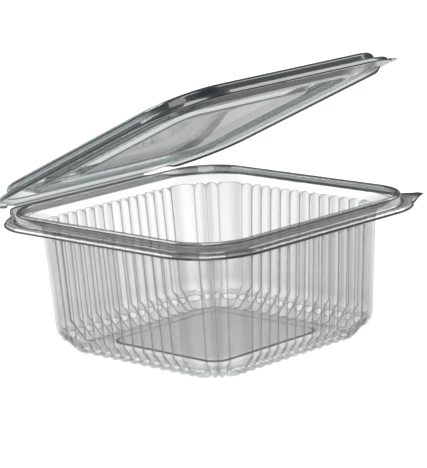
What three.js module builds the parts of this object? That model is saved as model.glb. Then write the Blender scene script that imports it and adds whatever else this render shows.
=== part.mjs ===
// A clear hinged deli box: a square fluted tub with a raised rim bead, and its lid, held open.
// Millimetres, +Z up, with the hinge on the +Y side. The parts are drawn about the middle of the tub's
// foot, and the whole box is then moved so that the origin lies under the middle of its outline.
import * as THREE from 'three';

// Sheet and overall sizes
const sheetThickness = 0.5;
const beadHalfSide = 62.6;
const beadTopHeight = 59.55;
const flangeHeight = 55.55;
const flangeHalfSide = 66.6;
const lipHalfSide = 67.8;
const lipDrop = 1.3;
const lipFlattening = 1.5;
const rimCornerCentre = 40.7;

// Fluted wall, knee and foot
const wallCornerCentre = 29.5;
const wallTopHalfSide = 56.6;
const wallTopHeight = 52.1;
const kneeHalfSide = 53.4;
const kneeHeight = 9.0;
const kneeStep = 1.0;
const footHalfSide = 45.2;
const footRingWidth = 1.6;
const fluteDepth = 1.0;
const archRise = 1.6;
const floorPanelHalfSide = 31;
const floorPanelHeight = 2.6;

// Flutes along one wall, out of line with the hinge and in line with it, and round each corner
const flutePitchAlongX = 5.08;
const fluteCountAlongX = 13;
const flutePitchAlongY = 5.6;
const fluteCountAlongY = 12;
const cornerFluteWidth = 5.0;
const fluteRoundness = 2.2;
const panelRoundness = 7;
const segmentsPerFlute = 4;
const segmentsPerPanel = 5;
const segmentsPerCorner = 12;
const referenceCornerRadius = 25;

// Lid, given closed: its sheet lies over the tub's rim
const lidLipHalfSide = 69.25;
const lidLipFlattening = 3;
const lidLipHeight = 54.35;
const lidFlangeHeight = 56.4;
const lidBeadTopHeight = 60.4;
const lidTroughHeight = 54.8;
const lidStepHalfSide = 49.6;
const lidRingHeight = 59.05;
const lidPanelHalfSide = 37;
const lidPanelHeight = 55.1;

// Hinge
const hingeDistance = 77.5;
const hingeHeight = 55.975;
const hingeGap = 0.2;
const hingeHalfLength = 38;
const hingeEarWidth = 14;
const openAngle = THREE.MathUtils.degToRad(24.5);

// Pull tab on the +X side: its tip's distance and angle about the middle of the rim's corner arc, and
// how far its straight edges reach round the arc to each side
const tabTipDistance = 35.6;
const tabAngle = THREE.MathUtils.degToRad(-22.5);
const tabNearSpan = THREE.MathUtils.degToRad(22.5);
const tabFarSpan = THREE.MathUtils.degToRad(15);

// Middle of the whole outline, hinge flange and tab included, from the middle of the tub
const outlineMiddle = new THREE.Vector2(2.06, 4.81);

const clearPlastic = {
  color: 0xe9eeee,
  roughness: 0.06,
  metalness: 0,
  transparent: true,
  opacity: 0.35,
  side: THREE.DoubleSide,
};

const cornerArcLength = (Math.PI / 2) * referenceCornerRadius;
const quarterLength = 2 * wallCornerCentre + cornerArcLength;

function smooth(value) {
  const t = Math.min(Math.max(value, 0), 1);
  return t * t * (3 - 2 * t);
}

// A place on the outline, from its distance along the reference outline, counted from the middle of
// the +X side. The straight stretch scales with the corner centre and a corner keeps its angle.
function outlinePoint(distance, cornerCentre, halfSide) {
  const quarter = Math.round(distance / quarterLength);
  const along = distance - quarter * quarterLength;
  const excess = Math.abs(along) - wallCornerCentre;
  const angle = (Math.sign(along) * Math.max(excess, 0)) / referenceCornerRadius;
  const straight = THREE.MathUtils.clamp(along / wallCornerCentre, -1, 1) * cornerCentre;
  const radius = halfSide - cornerCentre;
  const point = new THREE.Vector2(cornerCentre, straight);
  point.x += radius * Math.cos(angle);
  point.y += radius * Math.sin(angle);
  return point.rotateAround(new THREE.Vector2(), (quarter * Math.PI) / 2);
}

// Flutes and plain panels in order round the tub, each with its width and its roundness
function fluteRuns() {
  const runs = [];
  for (let quarter = 0; quarter < 4; quarter += 1) {
    const alongY = quarter % 2 === 0;
    const pitch = alongY ? flutePitchAlongY : flutePitchAlongX;
    const count = alongY ? fluteCountAlongY : fluteCountAlongX;
    const halfZone = (pitch * count) / 2;
    const nextHalfZone = alongY
      ? (flutePitchAlongX * fluteCountAlongX) / 2
      : (flutePitchAlongY * fluteCountAlongY) / 2;
    const panelWidth = (quarterLength - halfZone - nextHalfZone - 2 * cornerFluteWidth) / 2;
    for (let k = 0; k < count; k += 1) {
      runs.push({ width: pitch, roundness: fluteRoundness, segments: segmentsPerFlute });
    }
    const panel = { width: panelWidth, roundness: panelRoundness, segments: segmentsPerPanel };
    const cornerFlute = { width: cornerFluteWidth, roundness: fluteRoundness, segments: segmentsPerFlute };
    runs.push(panel, cornerFlute, cornerFlute, panel);
  }
  return runs;
}

// Stations round the fluted wall: the distance and how far the flute bulges there, from 0 to 1
function fineStations() {
  const stations = [];
  let distance = (-flutePitchAlongY * fluteCountAlongY) / 2;
  for (const run of fluteRuns()) {
    for (let k = 0; k < run.segments; k += 1) {
      const t = k / run.segments;
      const bulge = 1 - Math.abs(2 * t - 1) ** run.roundness;
      stations.push({ distance: distance + t * run.width, bulge });
    }
    distance += run.width;
  }
  return stations;
}

// Stations round the rim, the floor and the lid, which have no flutes
function plainStations() {
  const stations = [];
  for (let quarter = 0; quarter < 4; quarter += 1) {
    const middle = quarter * quarterLength;
    for (const straight of [-wallCornerCentre, 0]) {
      stations.push({ distance: middle + straight, bulge: 1 });
    }
    for (let k = 0; k < segmentsPerCorner; k += 1) {
      const along = wallCornerCentre + (cornerArcLength * k) / segmentsPerCorner;
      stations.push({ distance: middle + along, bulge: 1 });
    }
  }
  return stations;
}

const fluted = fineStations();
const plain = plainStations();

// A flange edge's offset from the middle of the corner arc, drawn out towards the tip of the pull tab
// with straight edges, and how near the tip it is, from 0 to 1
function towardsTab(offset, ringReach) {
  const radius = offset.length();
  const turned = Math.atan2(offset.y, offset.x) - tabAngle;
  const span = turned < 0 ? tabNearSpan : tabFarSpan;
  const away = Math.min(Math.abs(turned), span);
  const straight = (radius * tabTipDistance * Math.sin(span))
    / (radius * Math.sin(span - away) + tabTipDistance * Math.sin(away));
  return {
    offset: offset.clone().setLength(radius + (straight - radius) * ringReach),
    nearness: 1 - away / span,
  };
}

// Moves a flange edge out to the hinge line on the +Y side and out to the pull tab on the +X side
function flangeReach(point, ring) {
  const nearHinge = point.y > 0 ? 1 - smooth((Math.abs(point.x) - hingeHalfLength) / hingeEarWidth) : 0;
  const corner = new THREE.Vector2(rimCornerCentre, -rimCornerCentre);
  const tab = towardsTab(point.clone().sub(corner), ring.reach);
  const moved = tab.offset.add(corner);
  const flatness = smooth(ring.flattening * Math.max(nearHinge, tab.nearness));
  const height = ring.z + (ring.flatHeight - ring.z) * flatness;
  const hingeEdge = hingeDistance - hingeGap - ring.hingeInset;
  return new THREE.Vector3(moved.x, moved.y + (hingeEdge - moved.y) * nearHinge, height);
}

function ringPoints(ring) {
  return ring.stations.map((station) => {
    const inset = (ring.depth ?? 0) * (1 - station.bulge);
    const point = outlinePoint(station.distance, ring.centre, ring.half - inset);
    if (ring.reach !== undefined) {
      return flangeReach(point, ring);
    }
    return new THREE.Vector3(point.x, point.y, ring.z + (ring.rise ?? 0) * station.bulge);
  });
}

// Joins two rings whose stations may differ, in order of distance
function stitch(triangles, first, second, firstStart, secondStart) {
  let i = 0;
  let j = 0;
  const nextDistance = (ring, k) => (k + 1 < ring.stations.length ? ring.stations[k + 1].distance : Infinity);
  while (i < first.stations.length || j < second.stations.length) {
    const a = firstStart + (i % first.stations.length);
    const b = secondStart + (j % second.stations.length);
    const firstIsNext = i < first.stations.length
      && (j >= second.stations.length || nextDistance(first, i) <= nextDistance(second, j));
    if (firstIsNext) {
      triangles.push(a, firstStart + ((i + 1) % first.stations.length), b);
      i += 1;
    } else {
      triangles.push(a, secondStart + ((j + 1) % second.stations.length), b);
      j += 1;
    }
  }
}

// Moves a profile sideways by a distance, keeping every stretch parallel to itself
function offsetProfile(rings, distance) {
  return rings.map((ring, k) => {
    const before = rings[Math.max(k - 1, 0)];
    const after = rings[Math.min(k + 1, rings.length - 1)];
    const normals = [[before, ring], [ring, after]]
      .filter(([from, to]) => from !== to)
      .map(([from, to]) => new THREE.Vector2(from.z - to.z, to.half - from.half).normalize());
    const first = normals[0];
    const last = normals[normals.length - 1];
    const shift = first.clone().add(last).multiplyScalar(distance / (1 + first.dot(last)));
    const moved = { ...ring, half: ring.half + shift.x, z: ring.z + shift.y };
    if (ring.flatHeight !== undefined) {
      moved.flatHeight = ring.flatHeight + distance;
    }
    return moved;
  });
}

// A sheet of even thickness from one profile, which runs from the middle out to the lip
function sheetGeometry(rings) {
  const underside = offsetProfile(rings, -sheetThickness / 2);
  const topside = offsetProfile(rings, sheetThickness / 2).reverse();
  const order = [...underside, ...topside];
  const middleLow = new THREE.Vector3(0, 0, underside[0].z);
  const middleHigh = new THREE.Vector3(0, 0, topside[topside.length - 1].z);
  const points = [middleLow, middleHigh];
  const starts = [];
  for (const ring of order) {
    starts.push(points.length);
    points.push(...ringPoints(ring));
  }
  const triangles = [];
  for (let k = 0; k < order.length - 1; k += 1) {
    stitch(triangles, order[k], order[k + 1], starts[k], starts[k + 1]);
  }
  const count = order[0].stations.length;
  const lastStart = starts[starts.length - 1];
  for (let k = 0; k < count; k += 1) {
    const next = (k + 1) % count;
    triangles.push(0, starts[0] + next, starts[0] + k);
    triangles.push(1, lastStart + k, lastStart + next);
  }
  const geometry = new THREE.BufferGeometry();
  const coordinates = points.flatMap((point) => point.toArray());
  geometry.setAttribute('position', new THREE.Float32BufferAttribute(coordinates, 3));
  geometry.setIndex(triangles);
  geometry.computeVertexNormals();
  return geometry;
}

function rimRing(half, z) {
  return { centre: rimCornerCentre, half, z, stations: plain };
}

// A ring of the flange, whose height turns level near the hinge and the tab
function edgeRing(half, z, flatHeight, flattening, reach, hingeInset) {
  return { centre: rimCornerCentre, half, z, stations: plain, flatHeight, flattening, reach, hingeInset };
}

// The tub: raised floor panel, foot ring, fluted chamfer, knee, fluted wall, shoulder, bead and flange
function tubRings() {
  const footZ = sheetThickness / 2;
  return [
    { centre: 24, half: floorPanelHalfSide, z: floorPanelHeight, stations: plain },
    { centre: 25, half: floorPanelHalfSide + 2, z: floorPanelHeight - 1.2, stations: plain },
    { centre: wallCornerCentre, half: footHalfSide - footRingWidth - 1.1, z: footZ + 0.65, stations: plain },
    { centre: wallCornerCentre, half: footHalfSide - footRingWidth, z: footZ, stations: plain },
    { centre: wallCornerCentre, half: footHalfSide, z: footZ, stations: plain },
    {
      centre: wallCornerCentre,
      half: footHalfSide + 1.6,
      z: footZ + 1.4,
      stations: fluted,
      depth: fluteDepth / 2,
    },
    {
      centre: wallCornerCentre,
      half: kneeHalfSide - kneeStep,
      z: kneeHeight - kneeStep,
      stations: fluted,
      depth: fluteDepth,
    },
    { centre: wallCornerCentre, half: kneeHalfSide, z: kneeHeight, stations: fluted, depth: fluteDepth },
    {
      centre: wallCornerCentre,
      half: wallTopHalfSide,
      z: wallTopHeight,
      stations: fluted,
      depth: fluteDepth,
      rise: archRise,
    },
    { centre: 38.2, half: beadHalfSide - 3.3, z: beadTopHeight - 2.95, stations: plain },
    rimRing(beadHalfSide - 2.7, beadTopHeight - 0.75),
    rimRing(beadHalfSide - 2.0, beadTopHeight),
    rimRing(beadHalfSide - 0.9, beadTopHeight),
    rimRing(beadHalfSide - 0.3, beadTopHeight - 0.75),
    rimRing(beadHalfSide, flangeHeight + 0.5),
    rimRing(beadHalfSide + 0.6, flangeHeight),
    edgeRing(flangeHalfSide, flangeHeight, flangeHeight, lipFlattening, 0.75, 1.2),
    edgeRing(lipHalfSide, flangeHeight - lipDrop, flangeHeight, lipFlattening, 1, 0),
  ];
}

// The lid: middle panel, raised ring, trough that drops inside the tub's mouth, bead and flange
function lidRings() {
  return [
    { centre: 29, half: lidPanelHalfSide, z: lidPanelHeight, stations: plain },
    { centre: 29.5, half: lidPanelHalfSide + 0.9, z: lidPanelHeight + 0.5, stations: plain },
    { centre: 30.5, half: lidPanelHalfSide + 2.4, z: lidRingHeight - 0.6, stations: plain },
    { centre: 31, half: lidPanelHalfSide + 3.3, z: lidRingHeight, stations: plain },
    { centre: 38, half: lidStepHalfSide - 2.8, z: lidRingHeight, stations: plain },
    { centre: 39, half: lidStepHalfSide - 2.0, z: lidRingHeight - 0.6, stations: plain },
    rimRing(lidStepHalfSide - 0.4, lidTroughHeight + 0.5),
    rimRing(lidStepHalfSide + 0.4, lidTroughHeight),
    { centre: 33.5, half: 55.5, z: lidTroughHeight, stations: plain },
    { centre: 33.5, half: 56.3, z: lidTroughHeight + 0.7, stations: plain },
    { centre: 38, half: 57.9, z: lidTroughHeight + 2.5, stations: plain },
    rimRing(beadHalfSide - 3.55, lidBeadTopHeight - 1),
    rimRing(beadHalfSide - 2.5, lidBeadTopHeight),
    rimRing(beadHalfSide - 0.2, lidBeadTopHeight),
    rimRing(beadHalfSide + 0.6, lidBeadTopHeight - 1),
    rimRing(beadHalfSide + 0.9, lidFlangeHeight + 0.5),
    rimRing(beadHalfSide + 1.4, lidFlangeHeight),
    edgeRing(lidLipHalfSide - 1.1, lidFlangeHeight, lidFlangeHeight, lidLipFlattening, 0.75, 1.2),
    edgeRing(lidLipHalfSide, lidLipHeight, lidFlangeHeight, lidLipFlattening, 1, 0),
  ];
}

function makeTub() {
  const mesh = new THREE.Mesh(sheetGeometry(tubRings()), new THREE.MeshStandardMaterial(clearPlastic));
  mesh.name = 'tub';
  return mesh;
}

// The lid is made closed, about the hinge axis, and swung up with its hinge group
function makeLid() {
  const geometry = sheetGeometry(lidRings());
  geometry.translate(0, -hingeDistance, -hingeHeight);
  const mesh = new THREE.Mesh(geometry, new THREE.MeshStandardMaterial(clearPlastic));
  mesh.name = 'lid';
  const hinge = new THREE.Group();
  hinge.position.set(0, hingeDistance, hingeHeight);
  hinge.rotation.x = -openAngle;
  hinge.add(mesh);
  return hinge;
}

const box = new THREE.Group();
box.position.set(-outlineMiddle.x, -outlineMiddle.y, 0);
box.add(makeTub(), makeLid());

export default box;
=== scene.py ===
import math

import bpy
import numpy as np
from mathutils import Matrix, Vector


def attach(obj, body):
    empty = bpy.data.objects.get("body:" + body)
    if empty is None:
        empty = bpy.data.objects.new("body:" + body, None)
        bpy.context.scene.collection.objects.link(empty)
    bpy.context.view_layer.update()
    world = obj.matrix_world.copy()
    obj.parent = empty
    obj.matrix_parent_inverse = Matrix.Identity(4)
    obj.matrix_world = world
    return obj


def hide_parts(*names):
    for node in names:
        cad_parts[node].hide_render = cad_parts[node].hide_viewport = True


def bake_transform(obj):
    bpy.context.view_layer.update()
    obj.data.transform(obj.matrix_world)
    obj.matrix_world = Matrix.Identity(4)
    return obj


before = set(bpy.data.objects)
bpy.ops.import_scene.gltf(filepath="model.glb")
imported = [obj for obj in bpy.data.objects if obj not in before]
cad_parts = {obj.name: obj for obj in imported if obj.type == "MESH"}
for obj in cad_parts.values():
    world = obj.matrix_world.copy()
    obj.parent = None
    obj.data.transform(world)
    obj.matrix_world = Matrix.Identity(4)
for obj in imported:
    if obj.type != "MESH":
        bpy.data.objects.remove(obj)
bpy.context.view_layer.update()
print("frame loaded")

# Sizes are in millimetres about the middle of the tub's foot, as the box is drawn. Every finished
# mesh is in metres about the middle of the box's outline.
millimetre = 0.001
outlineMiddle = np.array([2.06, 4.81, 0.0])

outline = {
    "wallCentre": 29.5,  # middle of a wall's corner arc, from the middle of the tub
    "rimCentre": 40.7,
    "referenceRadius": 25.0,  # of the corners along which distances are counted
}

hinge = {
    "distance": 77.5,  # behind the middle of the tub
    "height": 55.975,
    "tubFlange": 55.55,  # heights of the two flanges, with the lid closed
    "lidFlange": 56.4,
    "gap": 0.2,
    "halfLength": 38.0,
    "earWidth": 14.0,
    "openAngle": 24.5,  # degrees
    "clearness": 0.3,  # the least that the sheet has along the hinge
}

# The pull tab, about the middle of the rim's corner arc at (+X, -Y)
tab = {
    "tipDistance": 35.6,
    "angle": -22.5,  # degrees
    "nearSpan": 22.5,  # how far its straight edges reach round the arc
    "farSpan": 15.0,
    "gripStart": 29.5,  # the dotted part, from the middle of the arc
    "gripFade": 1.5,
}

flutes = {
    "pitchAlongX": 5.08,
    "countAlongX": 13,
    "pitchAlongY": 5.6,
    "countAlongY": 12,
    "cornerWidth": 5.0,
    "depth": 1.0,
    "archRise": 1.6,
    "footLift": 1.0,
    "valleyWidth": 0.045,  # of a flute's width
    "sideShade": 0.11,  # painted shade: how much darker one half of a flute is
    "valleyLine": 0.6,  # how dark the painted shade line between two flutes is
    "cornerValleyLine": 0.22,
    "roundness": 2.2,
    "panelRoundness": 7.0,
    "places": (0.0, 0.05, 0.2, 0.4, 0.6, 0.8, 0.95),  # of mesh lines across a flute
}

meshSteps = {
    "tub": 7.0,  # longest step along a profile
    "lid": 5.0,
    "lidAround": 2.0,
    "cornerCloseness": 1.6,
    "lineFold": 3,  # steps round a fold with a dark line
    "plainFold": 2,
}

folds = {
    "least": 0.02,
    "mostOfSide": 0.45,
    "fullTurn": 60.0,  # degrees of fold that give its painted shade line full darkness
    "flatTop": 1.6,
    "lipLine": 1.0,  # how wide the painted dark edge of the lip is
    "lipStart": 0.2,
}

cornerArc = math.pi / 2 * outline["referenceRadius"]
quarterLength = 2 * outline["wallCentre"] + cornerArc


def smooth(value):
    t = np.clip(value, 0, 1)
    return t * t * (3 - 2 * t)


# Distances round the tub at which its mesh has a line, a few to each flute and corner panel
def flutedLines():
    lines = []
    alongX = flutes["pitchAlongX"] * flutes["countAlongX"]
    alongY = flutes["pitchAlongY"] * flutes["countAlongY"]
    panel = (quarterLength - alongX / 2 - alongY / 2 - 2 * flutes["cornerWidth"]) / 2
    corner = [panel, flutes["cornerWidth"], flutes["cornerWidth"], panel]
    start = -alongY / 2
    for quarter in range(4):
        axis = "AlongY" if quarter % 2 == 0 else "AlongX"
        for width in [flutes["pitch" + axis]] * flutes["count" + axis] + corner:
            lines += [start + width * place for place in flutes["places"]]
            start += width
    return np.array(lines)


def plainLines(spacing):
    lines = []
    half = outline["wallCentre"]
    cornerSteps = round(meshSteps["cornerCloseness"] * cornerArc / spacing)
    for quarter in range(4):
        straight = np.linspace(-half, half, round(2 * half / spacing), endpoint=False)
        corner = np.linspace(half, half + cornerArc, cornerSteps, endpoint=False)
        lines += list(quarter * quarterLength + np.concatenate([straight, corner]))
    return np.array(lines)


# A ring's points, from their distances round the outline, counted from the middle of the +X side.
# The straight stretch scales with the corner centre and a corner keeps its angle.
def ringPoints(distances, centre, half, height):
    quarter = np.round(distances / quarterLength)
    along = distances - quarter * quarterLength
    limit = outline["wallCentre"]
    angle = np.sign(along) * np.maximum(np.abs(along) - limit, 0) / outline["referenceRadius"]
    straight = np.clip(along, -limit, limit) / limit * centre
    x = centre + (half - centre) * np.cos(angle)
    y = straight + (half - centre) * np.sin(angle)
    turn = quarter * math.pi / 2
    return np.stack([
        x * np.cos(turn) - y * np.sin(turn),
        x * np.sin(turn) + y * np.cos(turn),
        np.full_like(x, height),
    ], axis=1)


# How far a point belongs to the straight stretch along the hinge, from 0 to 1
def hingeShare(x, y):
    onSide = y > 50
    return np.where(onSide, 1 - smooth((np.abs(x) - hinge["halfLength"]) / hinge["earWidth"]), 0)


# Takes a flange edge out to the hinge line on the +Y side and, with straight edges, to the tip of the
# pull tab on the +X side
def reachOut(points, flatHeight, flattening, reach, inset):
    x, y, z = points.T
    nearHinge = hingeShare(x, y)
    corner = outline["rimCentre"]
    radius = np.hypot(x - corner, y + corner)
    direction = np.arctan2(y + corner, x - corner)
    turned = direction - math.radians(tab["angle"])
    span = np.radians(np.where(turned < 0, tab["nearSpan"], tab["farSpan"]))
    away = np.minimum(np.abs(turned), span)
    tip = tab["tipDistance"]
    straight = radius * tip * np.sin(span) / (radius * np.sin(span - away) + tip * np.sin(away))
    out = (straight - radius) * reach
    flat = smooth(flattening * np.maximum(nearHinge, 1 - away / span))
    x = x + out * np.cos(direction)
    y = y + out * np.sin(direction)
    hingeEdge = hinge["distance"] - hinge["gap"] - inset
    return np.stack([x, y + (hingeEdge - y) * nearHinge, z + (flatHeight - z) * flat], axis=1)


# Profiles run from the middle out to the lip. Each ring has its corner centre, half side, height and
# fold radius, then how much it takes of the flutes' depth, of the rise of their tops and of the lift
# between their feet, how thin and clear the sheet is (partly its own thickness, partly painted
# highlight where clearer and painted shade where hazier), how dark the fold's painted shade line is,
# and its place across the row of clear toes, which has its middle at 3.
def ring(centre, half, height, fold=0.4, relief=0.0, arch=0.0, lift=0.0, thin=0.0, line=1.0,
         toe=0.0, edge=None):
    return {"centre": centre, "half": half, "height": height, "fold": fold, "relief": relief,
            "arch": arch, "lift": lift, "thin": thin, "line": line, "toe": toe, "edge": edge}


def tubProfile():
    wall = outline["wallCentre"]
    rim = outline["rimCentre"]
    flange = hinge["tubFlange"]
    level = {"flatHeight": flange, "flattening": 1.5}
    return [
        # floor
        ring(1.5, 2.0, 2.6, thin=0.5, toe=6),
        ring(24, 31, 2.6, 3.4, thin=0.5, line=3.2, toe=6),
        ring(25, 33.6, 1.7, 0.8, thin=0.6, line=0, toe=6),
        # foot
        ring(wall, 40.0, 1.7, 0.6, thin=0.4, line=0.6, toe=6),
        ring(wall, 41.4, 0.7, 1.0, lift=0.8, thin=0.6, line=0, toe=6),
        ring(wall, 43.0, 0.25, 1.0, lift=1, thin=0.5, line=0, toe=6),
        ring(wall, 45.2, 0.25, 1.0, relief=0.5, lift=1, thin=0.2, line=0, toe=5.5),
        ring(wall, 47.4, 2.2, 1.0, relief=0.9, lift=0.5, line=0, toe=4.42),
        # knee, where the flutes end in a U
        ring(wall, 51.2, 6.9, 0.8, relief=1, arch=-0.4, thin=0.2, line=0.2, toe=1.57),
        # the clear U bottoms of the knee are painted highlight
        ring(wall, 52.7, 8.4, 0.5, relief=1, arch=-1, thin=0.9, line=0, toe=0.6),
        ring(wall, 53.4, 9.2, 0.9, relief=1, arch=-1, thin=1, line=0),
        # wall, to the arched tops of the flutes
        ring(wall, 53.6, 12.0, 1.0, relief=1, line=0),
        ring(wall, 56.2, 48.0, 1.0, relief=1, arch=0.4, line=0),
        ring(wall, 56.6, 52.1, 0.3, relief=1, arch=1, line=1),
        # shoulder
        ring(wall, 57.0, 54.0, 0.3, thin=0.3, line=0),
        ring(38.2, 59.3, 56.6, 0.4, thin=0.2, line=1.6),
        # bead
        # the negative clearness here darkens the bead and flange band as painted shade
        ring(rim, 59.9, 58.8, 0.45, line=0.5),
        ring(rim, 60.6, 59.55, 0.6, thin=-0.2, line=2),
        ring(rim, 61.7, 59.55, 0.35, thin=-1.2, line=0.3),
        ring(rim, 62.3, 58.8, 0.6, thin=-1.8, line=2.2),
        ring(rim, 62.6, 56.05, 0.3, thin=-1.6, line=0.4),
        # flange and its lip
        ring(rim, 63.2, flange, 0.6, thin=-1.2, line=2.2),
        ring(rim, 66.6, flange, 0.4, thin=-0.6, line=0.3, edge=dict(level, reach=0.75, inset=1.2)),
        ring(rim, 67.8, 54.25, 0.3, thin=-0.6, edge=dict(level, reach=1, inset=0)),
    ]


def lidProfile():
    rim = outline["rimCentre"]
    flange = hinge["lidFlange"]
    level = {"flatHeight": flange, "flattening": 3}
    return [
        # middle panel
        # the negative clearness darkens the middle panel as painted shade
        ring(1.5, 2.0, 55.1, thin=-0.8),
        ring(29, 37, 55.1, 1.5, thin=-0.8, line=3),
        ring(29.5, 37.9, 55.6, 0.4, thin=-0.2, line=0),
        # stacking ring
        ring(30.5, 39.4, 58.45, 0.3, line=0),
        ring(31, 40.3, 59.05, 1.1, line=2),
        ring(38, 46.8, 59.05, 1.1, line=2),
        ring(39, 47.6, 58.45, 0.3, line=0),
        # trough, which drops inside the tub's mouth
        ring(rim, 49.2, 55.3, 0.3, line=0),
        ring(rim, 50.0, 54.8, 0.6, line=2),
        ring(33.5, 55.5, 54.8, 1.0, line=2),
        ring(33.5, 56.3, 55.5, 0.4, line=0),
        # bead, over the tub's
        ring(38, 57.9, 57.3, 0.8, line=0),
        ring(rim, 59.05, 59.4, 0.5, line=2),
        ring(rim, 60.1, 60.4, 0.35, line=0.5),
        ring(rim, 62.4, 60.4, 0.35, thin=-0.2, line=0.5),
        ring(rim, 63.2, 59.4, 0.7, thin=-0.2, line=2.4),
        ring(rim, 63.5, 56.9, 0.3, thin=-0.2, line=0),
        # flange and its lip
        ring(rim, 64.0, flange, 0.7, line=2.4),
        ring(rim, 68.15, flange, 0.4, line=0.5, edge=dict(level, reach=0.75, inset=1.2)),
        ring(rim, 69.25, 54.35, 0.3, thin=-0.3, edge=dict(level, reach=1, inset=0)),
    ]


# Weights that turn a profile's rings into closer ones, with every fold rounded, and how dark the
# fold's painted shade line is on each of those
def roundedWeights(profile, longest):
    corner = np.array([[r["half"], r["height"]] for r in profile])
    lengths = np.linalg.norm(np.diff(corner, axis=0), axis=1)
    directions = np.diff(corner, axis=0) / lengths[:, None]
    unit = np.eye(len(profile))
    rows = [unit[0]]
    lines = [0.0]

    # the straight stretch before ring k, up to a cut short of it
    def runUp(k, cut):
        start = rows[-1]
        end = unit[k] + (unit[k - 1] - unit[k]) * cut / lengths[k - 1]
        steps = max(1, math.ceil((lengths[k - 1] - cut) / longest))
        rows.extend(start + (end - start) * step / steps for step in range(1, steps + 1))
        lines.extend([0.0] * steps)
        return end

    lip = len(profile) - 1
    for k in range(1, lip):
        turn = math.acos(float(np.clip(directions[k - 1] @ directions[k], -1, 1)))
        room = folds["mostOfSide"] * min(lengths[k - 1], lengths[k])
        cut = min(profile[k]["fold"] * math.tan(turn / 2) + folds["least"], room)
        before = runUp(k, cut)
        after = unit[k] + (unit[k + 1] - unit[k]) * cut / lengths[k]
        darkest = min(1, turn / math.radians(folds["fullTurn"]) * profile[k]["line"])
        steps = meshSteps["lineFold"] if profile[k]["line"] else meshSteps["plainFold"]
        for step in range(1, steps + 1):
            t = step / steps
            rows.append((1 - t) ** 2 * before + 2 * t * (1 - t) * unit[k] + t ** 2 * after)
            # painted shade: a dark line along the fold, darkest at its middle
            lines.append(darkest * min(1, folds["flatTop"] * math.sin(math.pi * t)))
    before = runUp(lip, folds["lipLine"])
    rows += [before + (unit[lip] - before) * folds["lipStart"], unit[lip]]
    lines += [profile[lip]["line"]] * 2
    return np.array(rows), np.array(lines)


def addAttribute(mesh, name, values, kind="FLOAT"):
    attribute = mesh.attributes.new(name, kind, "POINT")
    field = "vector" if kind == "FLOAT_VECTOR" else "value"
    attribute.data.foreach_set(field, np.asarray(values, np.float32).ravel())


# A sheet's middle surface as a mesh, with what the flute tree and the shaders read on its points
def sheetMesh(name, profile, distances, longest, place):
    weights, lines = roundedWeights(profile, longest)
    coarse = []
    for r in profile:
        points = ringPoints(distances, r["centre"], r["half"], r["height"])
        coarse.append(reachOut(points, **r["edge"]) if r["edge"] else points)
    fine = np.einsum("fc,csk->fsk", weights, np.array(coarse))
    rings, around = fine.shape[:2]
    points = np.concatenate([fine.reshape(-1, 3), fine[0].mean(axis=0)[None]])
    faces = []
    for s in range(around):
        t = (s + 1) % around
        faces.append((rings * around, s, t))
        for k in range(0, (rings - 1) * around, around):
            faces.append((k + s, k + around + s, k + around + t, k + t))
    mesh = bpy.data.meshes.new(name)
    mesh.from_pydata((place(points) * millimetre).tolist(), [], faces)

    fields = {"distance": np.tile(distances, rings), "crease": np.repeat(lines, around)}
    for field in ("relief", "arch", "lift", "thin", "toe"):
        fields[field] = np.repeat(weights @ np.array([r[field] for r in profile]), around)
    atHinge = hingeShare(points[:-1, 0], points[:-1, 1])
    missing = np.maximum(hinge["clearness"] - fields["thin"], 0)
    fields["thin"] = fields["thin"] + missing * atHinge
    for field, values in fields.items():
        addAttribute(mesh, field, np.append(values, 0))

    corner = outline["rimCentre"]
    beyond = np.hypot(points[:, 0] - corner, points[:, 1] + corner) - tab["gripStart"]
    onTab = (points[:, 0] > corner) & (points[:, 1] < -corner)
    addAttribute(mesh, "grip", np.where(onTab, smooth(beyond / tab["gripFade"]), 0))
    outward = ringPoints(distances, 1000, 1001, 0) - ringPoints(distances, 1000, 1000, 0)
    outward = np.concatenate([np.tile(outward, (rings, 1)), np.zeros((1, 3))])
    addAttribute(mesh, "outward", outward, "FLOAT_VECTOR")
    return mesh


# Wraps a socket, so that arithmetic on it adds Math nodes
class Value:
    def __init__(self, graph, socket):
        self.graph = graph
        self.socket = socket

    def math(self, operation, *others):
        inputs = dict(enumerate((self,) + others))
        return self.graph.add("ShaderNodeMath", {"operation": operation}, inputs).value()

    def __add__(self, other): return self.math("ADD", other)
    def __radd__(self, other): return self.math("ADD", other)
    def __sub__(self, other): return self.math("SUBTRACT", other)
    def __rsub__(self, other): return self.math("MULTIPLY", -1) + other
    def __mul__(self, other): return self.math("MULTIPLY", other)
    def __rmul__(self, other): return self.math("MULTIPLY", other)
    def __truediv__(self, other): return self.math("DIVIDE", other)
    def __pow__(self, other): return self.math("POWER", other)
    def __lt__(self, other): return self.math("LESS_THAN", other)
    def __abs__(self): return self.math("ABSOLUTE")


class Added:
    def __init__(self, graph, node):
        self.graph = graph
        self.node = node

    def value(self, output=0):
        return Value(self.graph, self.node.outputs[output])


class Graph:
    def __init__(self, tree):
        self.tree = tree
        tree.nodes.clear()

    def add(self, kind, settings=None, inputs=None):
        node = self.tree.nodes.new(kind)
        for setting, value in (settings or {}).items():
            setattr(node, setting, value)
        for name, value in (inputs or {}).items():
            if isinstance(value, Value):
                self.tree.links.new(value.socket, node.inputs[name])
            else:
                node.inputs[name].default_value = value
        return Added(self, node)


def pick(isTrue, one, other):
    return isTrue * one + (1 - isTrue) * other


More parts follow.
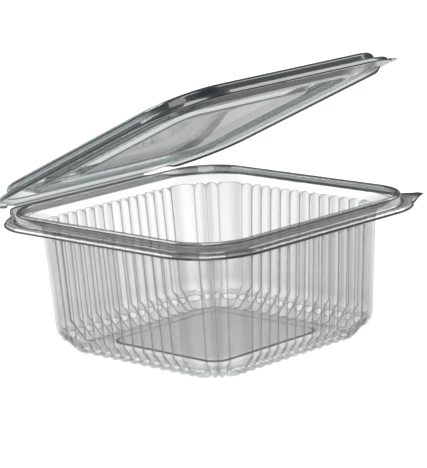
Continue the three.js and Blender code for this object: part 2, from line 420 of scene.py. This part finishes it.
fluteInputs = {
    "Quarter Length": quarterLength,
    "Pitch Along X": flutes["pitchAlongX"],
    "Count Along X": flutes["countAlongX"],
    "Pitch Along Y": flutes["pitchAlongY"],
    "Count Along Y": flutes["countAlongY"],
    "Corner Flute Width": flutes["cornerWidth"],
    "Flute Depth": flutes["depth"],
    "Arch Rise": flutes["archRise"],
    "Foot Lift": flutes["footLift"],
    "Valley Width": flutes["valleyWidth"],
    "Roundness": flutes["roundness"],
    "Panel Roundness": flutes["panelRoundness"],
    "Side Shade": flutes["sideShade"],
    "Valley Line": flutes["valleyLine"],
    "Corner Valley Line": flutes["cornerValleyLine"],
}


# Presses the flutes into a smooth wall: each bulges out between two narrow valleys
def fluteTree(inputs, material):
    tree = bpy.data.node_groups.new("wallFlutes", "GeometryNodeTree")
    tree.interface.new_socket("Geometry", in_out="INPUT", socket_type="NodeSocketGeometry")
    tree.interface.new_socket("Geometry", in_out="OUTPUT", socket_type="NodeSocketGeometry")
    for name, default in inputs.items():
        socket = tree.interface.new_socket(name, in_out="INPUT", socket_type="NodeSocketFloat")
        socket.default_value = default
    graph = Graph(tree)
    entry = graph.add("NodeGroupInput")
    result = graph.add("NodeGroupOutput")
    size = {name: entry.value(name) for name in inputs}

    def attribute(name, kind="FLOAT"):
        return graph.add("GeometryNodeInputNamedAttribute", {"data_type": kind}, {"Name": name}).value()

    def store(geometry, name, value):
        return graph.add("GeometryNodeStoreNamedAttribute", {"data_type": "FLOAT", "domain": "POINT"}, {
            "Geometry": geometry, "Name": name, "Value": value}).value()

    # which wall a point is on, and its distance from the middle of that wall
    distance = attribute("distance")
    quarter = (distance / size["Quarter Length"]).math("ROUND")
    along = abs(distance - quarter * size["Quarter Length"])
    onX = 1 - quarter.math("FLOORED_MODULO", 2)
    pitch = pick(onX, size["Pitch Along Y"], size["Pitch Along X"])
    halfX = size["Pitch Along X"] * size["Count Along X"] / 2
    halfY = size["Pitch Along Y"] * size["Count Along Y"] / 2
    halfZone = pick(onX, halfY, halfX)
    otherZone = pick(onX, halfX, halfY)

    # its place across the flute or the corner panel, from 0 to 1
    cornerWidth = size["Corner Flute Width"]
    cornerMiddle = (size["Quarter Length"] + halfZone - otherZone) / 2
    fromMiddle = abs(along - cornerMiddle)
    panelWidth = cornerMiddle - cornerWidth - halfZone
    inWall = along < halfZone
    inCorner = fromMiddle < cornerWidth
    wallPlace = ((along + halfZone) / pitch).math("FRACT")
    cornerPlace = pick(inCorner, fromMiddle / cornerWidth, (along - halfZone) / panelWidth)
    place = pick(inWall, wallPlace, cornerPlace)
    across = abs(place * 2 - 1)
    isFlute = inWall.math("MAXIMUM", inCorner)

    roundness = pick(isFlute, size["Roundness"], size["Panel Roundness"])
    bulge = 1 - across ** roundness
    inward = (1 - bulge) * size["Flute Depth"] * attribute("relief") * -millimetre
    archUp = bulge * size["Arch Rise"] * attribute("arch")
    footUp = (1 - bulge) * size["Foot Lift"] * attribute("lift")
    upward = (archUp + footUp) * millimetre

    # painted shade: dark valleys and half flutes, and a hazier sheet towards the valleys, standing in
    # for the flutes' refraction
    fromValley = place.math("MINIMUM", 1 - place) * pick(isFlute, 1, panelWidth / cornerWidth)
    fluted = attribute("relief").math("MAXIMUM", attribute("lift"))
    line = pick(inWall, size["Valley Line"], size["Corner Valley Line"])
    valley = (1 - fromValley / size["Valley Width"]).math("MAXIMUM", 0) * fluted * line
    shade = ((place * 2 * math.pi).math("SINE") / 2 + 0.5) ** 2 * fluted * size["Side Shade"]
    crease = valley.math("MAXIMUM", attribute("crease")) + shade
    thin = attribute("thin") * (1 - (1 - bulge) * fluted)

    sideways = graph.add("ShaderNodeVectorMath", {"operation": "SCALE"}, {
        "Vector": attribute("outward", "FLOAT_VECTOR"), "Scale": inward})
    raised = graph.add("ShaderNodeCombineXYZ", {}, {"Z": upward})
    offset = graph.add("ShaderNodeVectorMath", {"operation": "ADD"}, {
        0: sideways.value(), 1: raised.value()})
    moved = graph.add("GeometryNodeSetPosition", {}, {
        "Geometry": entry.value("Geometry"), "Offset": offset.value()})
    marked = store(moved.value(), "crease", crease)
    marked = store(marked, "thin", thin)
    marked = store(marked, "across", across)
    single = graph.add("GeometryNodeRealizeInstances", {}, {"Geometry": marked})
    finished = graph.add("GeometryNodeSetMaterial", {}, {
        "Geometry": single.value(), "Material": material})
    tree.links.new(finished.node.outputs[0], result.node.inputs["Geometry"])
    return tree


def addPiece(name, mesh, *materials):
    for material in materials:
        mesh.materials.append(material)
    piece = bpy.data.objects.new(name, mesh)
    bpy.context.scene.collection.objects.link(piece)
    return piece


def thicken(piece, thickness, rimSlot=0):
    sheet = piece.modifiers.new("sheet", "SOLIDIFY")
    sheet.thickness = thickness * millimetre
    sheet.offset = 0
    sheet.use_even_offset = False
    sheet.material_offset_rim = rimSlot


# Turns what a modifier stack gives into a plain mesh of the same object
def settle(piece):
    evaluated = piece.evaluated_get(bpy.context.evaluated_depsgraph_get())
    mesh = bpy.data.meshes.new_from_object(evaluated)
    piece.modifiers.clear()
    piece.data = mesh
    for name in ("distance", "relief", "arch", "lift", "outward"):  # the shaders read the others
        if name in mesh.attributes:
            mesh.attributes.remove(mesh.attributes[name])
    mesh.shade_smooth()


clearSheet = {
    "thickness": 0.42,
    "haze": 0.095,  # the share of light that one face stops when seen square on
    "edgeHaze": 0.4,  # and added to it where the face is seen edge on
    "edgePower": 7.0,
    "outlineHaze": 0.9,  # and at its very outline
    "outlinePower": 30.0,
    "paintedCreaseShade": 1.0,  # and, as painted shade, along folds, between flutes and on one side of each flute
    "gripHaze": 0.12,  # and on the tab, with its dots
    "dotHaze": 0.5,
    "dotSize": 900.0,
    "tint": (0.985, 0.99, 0.988, 1),  # of what passes one face
    "body": (0.035, 0.04, 0.037, 1),
    "bodyRoughness": 0.35,
    "glossRoughness": 0.035,
    "reflectance": 0.04,  # of one face seen square on
    "grazingShine": 0.9,  # and seen edge on
    "waveSize": 95.0,
    "waveDetail": 2.0,
    "waveBump": 0.00004,
    "paintedFrontShade": 0.0,  # painted shade: more haze towards the opening edge
    "frontStart": -0.032,
    "frontWidth": 0.02,
    "paintedToeOutline": 0.0,  # how dark the painted shade outline of each flute's clear toe is
    "toeMiddle": 3.0,
    "toeSize": 0.82,
    "toeLineWidth": 0.14,
}

tubSheet = dict(clearSheet, haze=0.155, paintedToeOutline=0.33)

# painted shade: the lid's copy of the same plastic is hazier, with a darker body and tint, than the
# tub's
lidSheet = dict(
    clearSheet,
    haze=0.22,
    edgeHaze=0.22,
    edgePower=5.0,
    paintedFrontShade=0.7,
    grazingShine=0.35,
    tint=(0.955, 0.98, 0.976, 1),
    body=(0.018, 0.027, 0.029, 1),
)

# painted shade: the sheet's cut edge is an almost black, opaque body
cutSheet = dict(clearSheet, haze=1.0, body=(0.01, 0.011, 0.01, 1))


# Clear sheet without refraction: each face passes most light, stops a share of it as haze in a dark
# body, and mirrors more of it the more it is seen edge on. Haze added at folds, flute valleys and
# sides, toe outlines and the lid's front edge is painted shade, and the cleared toes are painted
# highlight.
def clearPlastic(name, sheet):
    material = bpy.data.materials.new(name)
    material.use_nodes = True
    graph = Graph(material.node_tree)

    def attribute(name):
        return graph.add("ShaderNodeAttribute", {"attribute_name": name}).value("Fac")

    place = graph.add("ShaderNodeTexCoord").value("Object")
    waves = graph.add("ShaderNodeTexNoise", {}, {
        "Vector": place, "Scale": sheet["waveSize"], "Detail": sheet["waveDetail"]})
    normal = graph.add("ShaderNodeBump", {}, {
        "Strength": 1.0, "Distance": sheet["waveBump"], "Height": waves.value("Fac")}).value()
    facing = graph.add("ShaderNodeLayerWeight", {}, {"Blend": 0.5, "Normal": normal}).value("Facing")

    haze = facing ** sheet["edgePower"] * sheet["edgeHaze"] + sheet["haze"]
    haze = haze * (1 - attribute("thin")) + facing ** sheet["outlinePower"] * sheet["outlineHaze"]
    # painted shade: the lid darkens towards its opening edge, a fixed gradient in object space
    if sheet["paintedFrontShade"]:
        depth = graph.add("ShaderNodeSeparateXYZ", {}, {0: place}).value("Y")
        front = (depth * -1 + sheet["frontStart"]) / sheet["frontWidth"]
        haze = haze + front.math("MAXIMUM", 0).math("MINIMUM", 1) * sheet["paintedFrontShade"]
    # painted highlight and shade: each flute's toe is cleared of haze so it shows the white floor as a
    # bright lens, inside a painted dark outline
    if sheet["paintedToeOutline"]:
        fromMiddle = (attribute("across") ** 2 + (attribute("toe") - sheet["toeMiddle"]) ** 2) ** 0.5
        inward = (sheet["toeSize"] - fromMiddle) / sheet["toeLineWidth"]
        outside = (1 - inward).math("MINIMUM", 1).math("MAXIMUM", 0)
        paintedToeOutline = (1 - abs(inward)).math("MAXIMUM", 0)
        haze = haze * outside + paintedToeOutline * sheet["paintedToeOutline"]
    dots = graph.add("ShaderNodeTexChecker", {}, {"Vector": place, "Scale": sheet["dotSize"]})
    dotted = dots.value("Fac") * sheet["dotHaze"] + sheet["gripHaze"]
    # painted shade along folds, flute valleys and flute sides; the grip dots are the tab's own pattern
    haze = haze + attribute("crease") * sheet["paintedCreaseShade"] + attribute("grip") * dotted
    haze = haze.math("MINIMUM", 1)

    clear = graph.add("ShaderNodeBsdfTransparent", {}, {"Color": sheet["tint"]}).value()
    solid = graph.add("ShaderNodeBsdfPrincipled", {}, {
        "Base Color": sheet["body"], "Roughness": sheet["bodyRoughness"], "Normal": normal}).value()
    bodied = graph.add("ShaderNodeMixShader", {}, {0: haze, 1: clear, 2: solid}).value()
    gloss = graph.add("ShaderNodeBsdfAnisotropic", {}, {
        "Color": (1, 1, 1, 1), "Roughness": sheet["glossRoughness"], "Normal": normal}).value()
    shine = facing ** 5 * (sheet["grazingShine"] - sheet["reflectance"]) + sheet["reflectance"]
    mixed = graph.add("ShaderNodeMixShader", {}, {0: shine, 1: bodied, 2: gloss}).value()
    graph.add("ShaderNodeOutputMaterial", {}, {"Surface": mixed})
    return material


def makeTub(material, cutEdge):
    mesh = sheetMesh("tub_shell", tubProfile(), flutedLines(), meshSteps["tub"],
                     lambda points: points - outlineMiddle)
    piece = addPiece("tub_shell", mesh, material, cutEdge)
    modifier = piece.modifiers.new("flutes", "NODES")
    modifier.node_group = fluteTree(fluteInputs, material)
    for item in modifier.node_group.interface.items_tree:
        if item.item_type == "SOCKET" and item.in_out == "INPUT" and item.name in fluteInputs:
            modifier[item.identifier] = float(fluteInputs[item.name])
    thicken(piece, tubSheet["thickness"], rimSlot=1)
    settle(piece)
    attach(piece, "base")
    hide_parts("tub")
    print("tub made:", len(piece.data.polygons), "faces")


# The lid is drawn closed, then swung open about the hinge
def swingOpen(points):
    angle = math.radians(-hinge["openAngle"])
    y = points[:, 1] - hinge["distance"]
    z = points[:, 2] - hinge["height"]
    return np.stack([
        points[:, 0],
        hinge["distance"] + y * math.cos(angle) - z * math.sin(angle),
        hinge["height"] + y * math.sin(angle) + z * math.cos(angle),
    ], axis=1) - outlineMiddle


def makeLid(material, cutEdge):
    lines = plainLines(meshSteps["lidAround"])
    mesh = sheetMesh("lid_shell", lidProfile(), lines, meshSteps["lid"], swingOpen)
    piece = addPiece("lid_shell", mesh, material, cutEdge)
    thicken(piece, lidSheet["thickness"], rimSlot=1)
    settle(piece)
    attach(piece, "cover")
    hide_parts("lid")
    print("lid made:", len(piece.data.polygons), "faces")


hingeFilm = {
    "thickness": 0.22,
    "bulge": 0.35,  # how far it stands out behind the hinge
    "overlap": 0.5,  # how far it lies along each flange
    "lines": 40,  # along the hinge
    "linesAcross": 9,
    # painted shade line along each edge of the film
    "edgeLine": 0.25,
    "edgeLineStart": 0.7,  # from the middle of its width
    "thin": 0.8,
}


# The thin crease that joins the two flanges. Across, it runs from the tub's flange round the back of
# the hinge to the lid's.
def makeHingeFilm(material):
    back = hinge["distance"]
    tubEdge = np.array([back - hinge["gap"], hinge["tubFlange"]])
    lidEdge = np.array([back - hinge["gap"], hinge["lidFlange"]])
    angle = math.radians(hinge["openAngle"])
    turn = np.array([[math.cos(angle), math.sin(angle)], [-math.sin(angle), math.cos(angle)]])
    axis = np.array([back, hinge["height"]])
    lidEnd = axis + turn.T @ (lidEdge - axis)
    inward = turn.T @ np.array([-hingeFilm["overlap"], 0])
    middle = (tubEdge + lidEnd) / 2 + np.array([2 * hingeFilm["bulge"], 0])
    steps = np.linspace(0, 1, hingeFilm["linesAcross"])[:, None]
    curve = (1 - steps) ** 2 * tubEdge + 2 * steps * (1 - steps) * middle + steps ** 2 * lidEnd
    curve = np.concatenate([[tubEdge - [hingeFilm["overlap"], 0]], curve, [lidEnd + inward]])
    xs = np.linspace(-hinge["halfLength"], hinge["halfLength"], hingeFilm["lines"])
    points = np.array([[x, y, z] for x in xs for y, z in curve]) - outlineMiddle
    count = len(curve)
    faces = [(k * count + i, k * count + i + 1, (k + 1) * count + i + 1, (k + 1) * count + i)
             for k in range(len(xs) - 1) for i in range(count - 1)]
    mesh = bpy.data.meshes.new("hinge_film")
    mesh.from_pydata((points * millimetre).tolist(), [], faces)
    across = np.abs(np.linspace(-1, 1, count))
    # painted shade along the film's two edges
    edgeLine = hingeFilm["edgeLine"] * (across > hingeFilm["edgeLineStart"])
    addAttribute(mesh, "crease", np.tile(edgeLine, len(xs)))
    addAttribute(mesh, "thin", np.full(len(points), hingeFilm["thin"]))
    piece = addPiece("hinge_film", mesh, material)
    thicken(piece, hingeFilm["thickness"])
    settle(piece)
    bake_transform(piece)
    print("hinge film made")


# Metres and watts. The room is white where the camera looks, and dim for what the sheet mirrors.
studio = {
    "background": 1.0,
    "room": 0.06,
    "floorGlow": 0.92,
    "floorColour": (0.35, 0.35, 0.35, 1),
    "floorRoughness": 0.9,
    "floorSize": 6.0,
    "floorHeight": -0.0002,
    "lampAim": (0, 0, 0.05),
    "lamps": [
        {"name": "keyLight", "at": (-0.9, -0.4, 1.1), "size": 0.7, "power": 6.0},
        {"name": "fillLight", "at": (1.15, -0.15, 1.0), "size": 0.6, "power": 7.0},
        {"name": "backLight", "at": (-0.42, 1.03, 1.0), "size": 0.6, "power": 9.0},
        {"name": "topLight", "at": (-0.25, -0.25, 1.4), "size": 0.7, "power": 11.0},
    ],
}


def makeRoom():
    world = bpy.data.worlds.new("studio")
    bpy.context.scene.world = world
    world.use_nodes = True
    graph = Graph(world.node_tree)
    seen = graph.add("ShaderNodeLightPath").value("Is Camera Ray")
    strength = pick(seen, studio["background"], studio["room"])
    room = graph.add("ShaderNodeBackground", {}, {"Color": (1, 1, 1, 1), "Strength": strength})
    graph.add("ShaderNodeOutputWorld", {}, {"Surface": room.value()})


def makeFloor():
    half = studio["floorSize"] / 2
    corners = [(-half, -half), (half, -half), (half, half), (-half, half)]
    mesh = bpy.data.meshes.new("floor")
    mesh.from_pydata([(x, y, studio["floorHeight"]) for x, y in corners], [], [(0, 1, 2, 3)])
    material = bpy.data.materials.new("paleFloor")
    material.use_nodes = True
    graph = Graph(material.node_tree)
    surface = graph.add("ShaderNodeBsdfPrincipled", {}, {
        "Base Color": studio["floorColour"], "Roughness": studio["floorRoughness"],
        "Emission Color": (1, 1, 1, 1), "Emission Strength": studio["floorGlow"]})
    graph.add("ShaderNodeOutputMaterial", {}, {"Surface": surface.value()})
    addPiece("floor", mesh, material)


def makeLamps():
    for lamp in studio["lamps"]:
        light = bpy.data.lights.new(lamp["name"], "AREA")
        light.shape = "SQUARE"
        light.size = lamp["size"]
        light.energy = lamp["power"]
        holder = bpy.data.objects.new(lamp["name"], light)
        bpy.context.scene.collection.objects.link(holder)
        holder.location = lamp["at"]
        towards = Vector(studio["lampAim"]) - Vector(lamp["at"])
        holder.rotation_mode = "QUATERNION"
        holder.rotation_quaternion = towards.to_track_quat("-Z", "Y")


# Place in millimetres, as the box is drawn
view = {
    "place": (-755.57, -747.28, 281.25),
    "forward": (0.6951, 0.6856, -0.2164),
    "up": (0.1901, 0.1151, 0.9750),
    "focalLength": 222.57,
    "sensorWidth": 36.0,
    "nearest": 0.01,  # metres
    "furthest": 50.0,
}


def makeCamera():
    data = bpy.data.cameras.new("camera")
    data.sensor_fit = "HORIZONTAL"
    data.sensor_width = view["sensorWidth"]
    data.lens = view["focalLength"]
    data.clip_start = view["nearest"]
    data.clip_end = view["furthest"]
    camera = bpy.data.objects.new("camera", data)
    bpy.context.scene.collection.objects.link(camera)
    forward = Vector(view["forward"]).normalized()
    up = Vector(view["up"])
    up = (up - forward * up.dot(forward)).normalized()
    right = forward.cross(up)
    turn = Matrix((right, up, -forward)).transposed()
    camera.rotation_mode = "QUATERNION"
    camera.rotation_quaternion = turn.to_quaternion()
    camera.location = Vector((np.array(view["place"]) - outlineMiddle) * millimetre)
    bpy.context.scene.camera = camera


makeCamera()
tubPlastic = clearPlastic("tubPlastic", tubSheet)
lidPlastic = clearPlastic("lidPlastic", lidSheet)
cutEdge = clearPlastic("cutEdge", cutSheet)
makeTub(tubPlastic, cutEdge)
makeLid(lidPlastic, cutEdge)
makeHingeFilm(tubPlastic)
makeRoom()
makeFloor()
makeLamps()

# A ray crosses many sheets before it reaches the white behind them
scene = bpy.context.scene
scene.view_settings.view_transform = "Standard"
scene.cycles.max_bounces = 24
scene.cycles.transparent_max_bounces = 64
print("studio ready")
